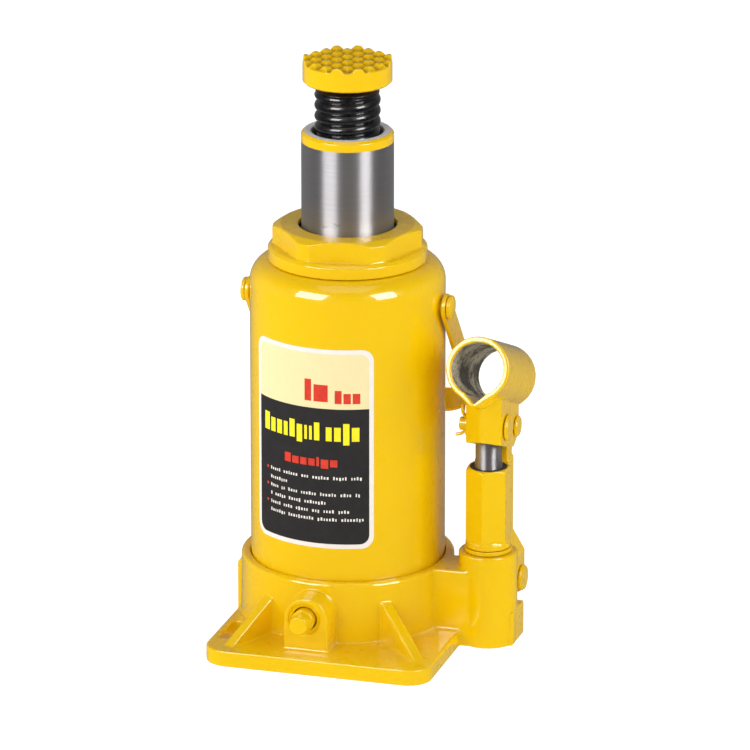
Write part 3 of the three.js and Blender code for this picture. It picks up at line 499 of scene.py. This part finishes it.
def base_casting():
    """The cup's wall, its recess round the tank, the pump block and the valve's mouth stay round."""
    top = CUP["top"]
    cup_foot = CUP["radius"] + CUP["draft"]
    taper = -CUP["draft"] / top
    pump = (PUMP["x"], PUMP["y"], 0)
    valve = (VALVE["x"], 0, VALVE["z"])
    cylinders = [
        dict(centre=CENTRE, axis=UPRIGHT, radius=cup_foot, taper=taper, span=(9, top - 1.5)),
        dict(centre=CENTRE, axis=UPRIGHT, radius=CUP["recess"], span=(31, top + 1), reach=0.9),
        dict(centre=pump, axis=UPRIGHT, radius=PUMP["block"], span=(2, 42)),
        dict(centre=valve, axis=(0, 1, 0), radius=VALVE["mouth"], span=(-61, -59)),
    ]
    soften("base_casting", 0.55, 6, CAST_PAINT, cylinders)


def tank():
    """A drawn shell with a rounded shoulder and an open mouth under the nut."""
    low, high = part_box("reservoir_tank")
    bottom, top = low.z / MM, high.z / MM
    outer, wall, shoulder, mouth = TANK["radius"], TANK["wall"], TANK["shoulder"], TANK["mouth"]
    outline = filleted([
        (mouth, top, 0),
        (outer, top, shoulder),
        (outer, bottom, 0),
        (outer - wall, bottom, 0),
        (outer - wall, top - wall, shoulder - wall),
        (mouth, top - wall, 0),
    ], steps=14)
    stand_for(lathe("tank_skin", outline, PAINT, 192), "reservoir_tank")


# ---------------------------------------------------------------- ram, screw, saddle


def ram():
    """Ground along its side, painted in a band round its top and bare on its end face."""
    low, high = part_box("ram")
    foot, top = low.z / MM, high.z / MM
    radius, bore, stub, hole = RAM["radius"], RAM["bore"], RAM["stub"], RAM["hole"]
    chamfer = 1.2
    shoulder = foot + 10
    hole_end = foot + 14
    outline = filleted([
        (0, hole_end, 0),
        (hole, hole_end, 0),
        (hole, foot, 0),
        (stub, foot, 0),
        (stub, shoulder, 0),
        (radius, shoulder, 0),
        (radius, top - RAM["band"], 0),
        (radius, top - chamfer, 0.6),
        (radius - chamfer, top, 0.4),
        (bore + 0.5, top, 0.2),
        (bore, top - 0.6, 0),
        (bore, RAM["bore_floor"], 0),
        (0, RAM["bore_floor"], 0),
    ])
    piece = stand_for(lathe("ram_skin", outline, STEEL), "ram")
    paint_edge = radius - chamfer - 0.3

    def painted(centres):
        out = np.hypot(centres[:, 0], centres[:, 1])
        return (centres[:, 2] > top - RAM["band"]) & (out > paint_edge)

    def faced(centres):
        out = np.hypot(centres[:, 0], centres[:, 1])
        return (centres[:, 2] > top - 0.8) & (out < paint_edge)

    another_finish(piece, PAINT, painted)
    another_finish(piece, FACED, faced)


def extension_screw():
    """Rounded thread with narrow grooves, a neck at its foot and a spigot into the saddle.

    The thread fades out at both ends, to a plain surface at three quarters of its depth."""
    low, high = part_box("extension_screw")
    pitch, root = SCREW["pitch"], SCREW["root"]
    depth = SCREW["crest"] - root
    neck_foot, spigot_top = low.z / MM, high.z / MM
    bottom, top = neck_foot + 5, spigot_top - 8
    around, per_pitch = 96, 22
    rows = round((top - bottom) / pitch * per_pitch)
    plain, narrowness = 0.75, 0.55
    points, starts = [], []

    def add_ring(z, radius_at):
        starts.append(len(points))
        for k in range(around):
            angle = 2 * math.pi * k / around
            radius = radius_at(angle)
            points.append((radius * math.cos(angle), radius * math.sin(angle), z))

    for z in (neck_foot, bottom):
        add_ring(z, lambda angle: SCREW["neck"])
    for row in range(rows + 1):
        z = bottom + (top - bottom) * row / rows
        fade = max(0.0, min(1.0, (z - bottom) / 2, (SCREW["plain"] - z) / 1.2))

        def thread(angle, z=z, fade=fade):
            turn = z / pitch - angle / (2 * math.pi)
            ridge = abs(math.sin(math.pi * turn)) ** narrowness
            return root + depth * (plain + (ridge - plain) * fade)

        add_ring(z, thread)
    for z in (top, spigot_top):
        add_ring(z, lambda angle: SCREW["spigot"])
    faces = []
    for a, b in zip(starts, starts[1:]):
        for k in range(around):
            n = (k + 1) % around
            faces.append((a + k, a + n, b + n, b + k))
    faces.append(tuple(reversed(range(around))))
    faces.append(tuple(starts[-1] + k for k in range(around)))
    piece = new_piece("extension_screw_skin", mesh_of("extension_screw_skin", points, faces), BLACK)
    stand_for(piece, "extension_screw")


# ---------------------------------------------------------------- pump


def handle_socket():
    """Painted outside and bare in its bore, all but half a millimetre at each end."""
    centre = np.array(SOCKET["centre"])
    tilt = SOCKET["tilt"]
    along = np.array((0, -math.cos(tilt), math.sin(tilt)))
    rounds = [
        dict(centre=centre, axis=along, radius=SOCKET[side], span=(-40, 40), reach=0.25)
        for side in ("outer", "bore")
    ]
    piece = soften("handle_socket", 0.36, 5, PAINT, rounds)

    def bare(centres):
        offset = centres - centre
        run = offset @ along
        out = np.linalg.norm(offset - np.outer(run, along), axis=1)
        return (out < SOCKET["bore"] + 0.35) & (np.abs(run) < 24)

    another_finish(piece, BORE_STEEL, bare)


def pump_cylinder():
    axis = (PUMP["x"], PUMP["y"], 0)
    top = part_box("pump_cylinder")[1].z / MM
    rounds = [
        dict(centre=axis, axis=UPRIGHT, radius=PUMP["collar"], span=(45, 49)),
        dict(centre=axis, axis=UPRIGHT, radius=PUMP["mouth"], span=(top - 2, top)),
    ]
    soften("pump_cylinder", 0.32, 5, PAINT, rounds)


def pump_plunger():
    axis = (PUMP["x"], PUMP["y"], 0)
    side = dict(centre=axis, axis=UPRIGHT, radius=PUMP["plunger"], span=(40, 108), reach=0.2)
    soften("pump_plunger", 0.3, 3, STEEL, [side])


# ---------------------------------------------------------------- smaller pieces


def small_painted_pieces():
    """The nut, saddle, pins, washers, rivets and strip metal, all under the same paint.

    Each has its own fineness: the voxel in millimetres and the number of smoothing passes."""
    fineness = {
        "top_nut": (0.34, 6),
        "saddle_pad": (0.22, 3),
        "connecting_link": (0.32, 7),
        "carry_handle": (0.4, 4),
        "carry_handle_rivet_right": (0.22, 5),
        "carry_handle_rivet_left": (0.22, 5),
        "pump_cylinder_washer": (0.22, 4),
        "plunger_pin": (0.2, 5),
        "plunger_pin_washer": (0.2, 3),
        "link_top_pin": (0.2, 5),
        "link_foot_pin": (0.2, 5),
        "plunger_split_pin": (0.16, 4),
        "link_top_split_pin": (0.16, 4),
        "link_foot_split_pin": (0.16, 4),
        "release_valve_spindle": (0.22, 5),
    }
    rounds = {
        "top_nut": [
            dict(centre=CENTRE, axis=UPRIGHT, radius=NUT["flange"], span=NUT["flange_span"]),
            dict(centre=CENTRE, axis=UPRIGHT, radius=NUT["mouth"], span=NUT["mouth_span"]),
        ],
        "saddle_pad": [
            dict(centre=CENTRE, axis=UPRIGHT, radius=SADDLE["radius"], span=SADDLE["span"]),
        ],
    }
    for node, (voxel, passes) in fineness.items():
        paint = SADDLE_PAINT if node == "saddle_pad" else PAINT
        soften(node, voxel, passes, paint, rounds.get(node, ()))


# ---------------------------------------------------------------- label


def film(name, patches, foot, face, finish):
    """Thin closed patches on the tank; each is a list of (angle in radians, low z, high z) columns.

    The foot and the face are how far the film's two sides stand off the tank."""
    inner, outer = TANK["radius"] + foot, TANK["radius"] + face
    points, faces = [], []
    for columns in patches:
        first = len(points)
        for angle, low, high in columns:
            side, front = math.sin(angle), -math.cos(angle)
            for radius, z in ((inner, low), (inner, high), (outer, high), (outer, low)):
                points.append((radius * side, radius * front, z))
        for i in range(len(columns) - 1):
            a, b = first + 4 * i, first + 4 * (i + 1)
            for k in range(4):
                n = (k + 1) % 4
                faces.append((a + k, a + n, b + n, b + k))
        last = len(points) - 4
        faces.append(tuple(range(first, first + 4)))
        faces.append(tuple(range(last + 3, last - 1, -1)))
    piece = new_piece(name, mesh_of(name, points, faces), finish)
    piece.data.shade_flat()
    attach(piece, "base")
    return piece


def rounded_columns(half, low, high, corners):
    """Columns of a rectangle with rounded corners, half its width on each side of the label's middle.

    The corners are the radii at the foot and at the top."""
    foot, top = corners
    left, right = -half, half
    widest = max(foot, top)
    column_width = 0.8
    places = list(np.linspace(left + widest, right - widest, round((right - left) / column_width)))
    corner_steps = 9
    for k in range(corner_steps):
        inset = widest * (1 - math.cos(math.pi / 2 * k / corner_steps))
        places += [left + inset, right - inset]

    def drop(place, radius):
        """How far a rounded corner takes the edge in at this place."""
        reach = radius - min(place - left, right - place, radius)
        return radius - math.sqrt(max(radius * radius - reach * reach, 1e-4)) if radius else 0.0

    made = []
    for place in sorted(set(round(float(p), 4) for p in places)):
        bottom = low + drop(place, foot)
        upper = high - drop(place, top)
        made.append((on_label(place), bottom, max(upper, bottom + 0.02)))
    return made


def on_label(place):
    """The angle round the tank of a place in millimetres from the label's middle."""
    return math.radians(LABEL["middle"]) + place / TANK["radius"]


def blocks(name, left, bottom, widths, *, height, gap, ink, word_gap=0.0):
    """A row of plain blocks in place of lettering; a zero width is a space between words.

    Every fourth block is a little taller, and every seventh one a little lower, than the rest."""
    patches = []
    place = left
    for number, width in enumerate(widths):
        if not width:
            place += word_gap
            continue
        top = bottom + height * (1.0 if number % 4 == 0 else 0.78)
        foot = bottom - height * (0.2 if number % 7 == 5 else 0.0)
        cuts = np.linspace(place, place + width, 2 + int(width))
        patches.append([(on_label(float(cut)), foot, top) for cut in cuts])
        place += width + gap
    film(name, patches, FILM["ink_foot"], FILM["ink"], ink)


def label():
    """A white sticker with a cream panel over a dark one; plain blocks stand in for its lettering.

    A line of small print is its height and the number of blocks in each of its words."""
    low, high, border, corner = LABEL["low"], LABEL["high"], LABEL["border"], LABEL["corner"]
    divide = LABEL["divide"]
    whole = rounded_columns(HALF_LABEL, low, high, (corner, corner))
    sheet = film("label_sheet", [whole], FILM["foot"], FILM["sheet"], WHITE_FILM)
    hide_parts("rating_label")
    edge = HALF_LABEL - border
    inside = corner - border * 0.6
    panels = [
        ("label_cream_panel", divide, high - border, (0.0, inside), CREAM_INK),
        ("label_dark_panel", low + border, divide, (inside, 0.0), DARK_INK),
    ]
    for name, bottom, top, corners, ink in panels:
        panel = rounded_columns(edge, bottom, top, corners)
        film(name, [panel], FILM["foot"], FILM["panel"], ink)
    large = (3.2, 6.6)
    blocks("label_rating_large", -1.0, divide + 3.2, large, height=10.2, gap=1.1, ink=RED_INK)
    small = (3.1, 3.3, 3.4)
    blocks("label_rating_small", 13.0, divide + 2.6, small, height=6.2, gap=0.8, ink=RED_INK)
    title = (3.5, 2.9, 3.0, 2.2, 2.8, 2.8, 1.3, 1.3, 2.5, 0, 2.7, 3.0, 2.8, 3.4)
    blocks("label_title", -24.7, 101.6, title, height=8.4, gap=1.05, ink=YELLOW_INK, word_gap=1.9)
    notice = (3.3, 3.3, 3.1, 3.0, 1.2, 3.4, 3.2)
    blocks("label_notice", -11.6, 89.4, notice, height=4.3, gap=0.87, ink=RED_INK)
    lines = [
        (83.4, (5, 6, 3, 6, 5, 4)),
        (79.3, (8,)),
        (75.5, (4, 2, 4, 6, 6, 4, 2)),
        (71.5, (1, 5, 5, 8)),
        (67.6, (5, 4, 5, 3, 4, 4)),
        (63.8, (7, 10, 7, 8)),
    ]
    bullets = []
    for number, (z, words) in enumerate(lines):
        widths = []
        for length in words:
            for k in range(length):
                widths.append(0.55 + 0.1 * ((k * 5 + number * 3 + length) % 4))
            widths.append(0)
        name = f"label_line_{number + 1}"
        blocks(name, -20.4, z, widths[:-1], height=1.5, gap=0.62, ink=WHITE_FILM, word_gap=1.5)
        if number % 2 == 0:
            bullets.append([(on_label(place), z + 0.2, z + 1.4) for place in (-23.2, -22.1)])
    film("label_bullets", bullets, FILM["ink_foot"], FILM["ink"], RED_INK)


# ---------------------------------------------------------------- the other nodes


def carried_over():
    """The nodes that no piece stands for keep their meshes and get their slots' finishes.

    The facets share their corners, and only edges sharper than the split angle stay crisp."""
    for name, node in frame["nodes"].items():
        if node.hide_render:
            continue
        if not node.material_slots:
            node.data.materials.append(None)
        for place in node.material_slots:
            place.link = "OBJECT"
            place.material = SLOT_FINISH[SLOT_OF[name]]
        weld = node.modifiers.new("weld", "WELD")
        weld.merge_threshold = 1e-6
        node.data.shade_smooth()
        edge = node.modifiers.new("edges", "EDGE_SPLIT")
        edge.split_angle = math.radians(32)


# ---------------------------------------------------------------- studio


# The softboxes: name, azimuth from the front towards +X and elevation in degrees, distance, width and
# height in metres, power in watts, and what each gives: diffuse light, glossy highlights or both.
SOFTBOXES = [
    ("softbox_left", -30, 32, 1.6, 1.15, 1.0, 8.6, "diffuse"),
    ("softbox_right", 64, 32, 1.6, 0.9, 1.0, 7.6, "diffuse"),
    ("softbox_top", 10, 80, 1.7, 1.2, 1.2, 4, "both"),
    ("fill_front", 5, 9, 1.8, 1.8, 0.6, 10, "diffuse"),
    ("fill_left", -85, 12, 1.6, 1.4, 0.8, 17, "diffuse"),
    ("fill_right", 115, 14, 1.6, 1.4, 0.8, 13, "diffuse"),
    ("reflector_left", -30, 31, 1.5, 0.88, 0.74, 22, "glossy"),
    ("reflector_right", 64, 31, 1.5, 0.66, 0.74, 19, "glossy"),
]
LIT_POINT = (0, 0, 0.13)

# Away from the camera and level: the side of the room that is lighter.
BACK_WALL = (-0.286, 0.958, 0)


def outward(azimuth, elevation):
    """The unit vector that points away from the jack; the angles are in degrees."""
    turn, rise = math.radians(azimuth), math.radians(elevation)
    flat = math.cos(rise)
    return Vector((math.sin(turn) * flat, -math.cos(turn) * flat, math.sin(rise)))


def softbox(name, azimuth, elevation, distance, width, height, power, part):
    """An area light that faces the jack and isn't itself seen."""
    light = bpy.data.lights.new(name, "AREA")
    light.shape = "RECTANGLE"
    light.size, light.size_y = width, height
    light.energy = power
    lamp = bpy.data.objects.new(name, light)
    bpy.context.scene.collection.objects.link(lamp)
    lamp.visible_camera = False
    lamp.visible_diffuse = part != "glossy"
    lamp.visible_glossy = part != "diffuse"
    away = outward(azimuth, elevation)
    lamp.location = Vector(LIT_POINT) + away * distance
    lamp.rotation_mode = "QUATERNION"
    lamp.rotation_quaternion = away.to_track_quat("Z", "Y")


def world():
    """A dark room whose back wall is lighter; the jack is seen against plain white."""
    room = bpy.data.worlds.new("studio")
    bpy.context.scene.world = room
    room.use_nodes = True
    nodes, links = room.node_tree.nodes, room.node_tree.links
    white = (1, 1, 1, 1)
    walls = nodes["Background"]
    walls.inputs["Color"].default_value = white
    behind = nodes.new("ShaderNodeVectorMath")
    behind.operation = "DOT_PRODUCT"
    behind.inputs[1].default_value = BACK_WALL
    links.new(nodes.new("ShaderNodeTexCoord").outputs["Generated"], behind.inputs[0])
    glow = nodes.new("ShaderNodeMapRange")
    for socket, value in {"From Min": 0.1, "From Max": 0.8, "To Min": 0.05, "To Max": 0.2}.items():
        glow.inputs[socket].default_value = value
    links.new(behind.outputs["Value"], glow.inputs["Value"])
    links.new(glow.outputs["Result"], walls.inputs["Strength"])
    backdrop = nodes.new("ShaderNodeBackground")
    backdrop.inputs["Color"].default_value = white
    seen = nodes.new("ShaderNodeMixShader")
    links.new(nodes.new("ShaderNodeLightPath").outputs["Is Camera Ray"], seen.inputs["Fac"])
    links.new(walls.outputs["Background"], seen.inputs[1])
    links.new(backdrop.outputs["Background"], seen.inputs[2])
    links.new(seen.outputs["Shader"], nodes["World Output"].inputs["Surface"])


def floor():
    """A plain pale floor that doesn't show in reflections, just under the jack's foot."""
    half, z = 6e3, -0.05
    corners = [(-half, -half, z), (half, -half, z), (half, half, z), (-half, half, z)]
    finish = Finish("floor", Roughness=0.9, Emission_Color=(1, 1, 1, 1), Emission_Strength=0.9)
    finish.colour(finish.mix(finish.noise(3, 3), (0.34, 0.34, 0.34), (0.36, 0.36, 0.36)))
    piece = new_piece("floor", mesh_of("floor", corners, [(0, 1, 2, 3)]), finish.material)
    piece.visible_glossy = False


def camera():
    """A long lens a little above the jack and to its right, aimed in millimetres."""
    away = outward(16.611, 18.541)
    aim = Vector((11.716, 3.495, 118.22))
    distance = 3183
    data = bpy.data.cameras.new("camera")
    data.sensor_width = 36
    data.lens = 339
    data.clip_end = 50
    eye = bpy.data.objects.new("camera", data)
    bpy.context.scene.collection.objects.link(eye)
    eye.location = (aim + away * distance) * MM
    eye.rotation_mode = "QUATERNION"
    eye.rotation_quaternion = away.to_track_quat("Z", "Y")
    bpy.context.scene.camera = eye


bpy.context.scene.view_settings.view_transform = "Standard"
camera()
world()
for row in SOFTBOXES:
    softbox(*row)
floor()
base_casting()
tank()
ram()
extension_screw()
handle_socket()
pump_cylinder()
pump_plunger()
small_painted_pieces()
soften("filler_plug", 0.3, 4, RUBBER)
label()
carried_over()
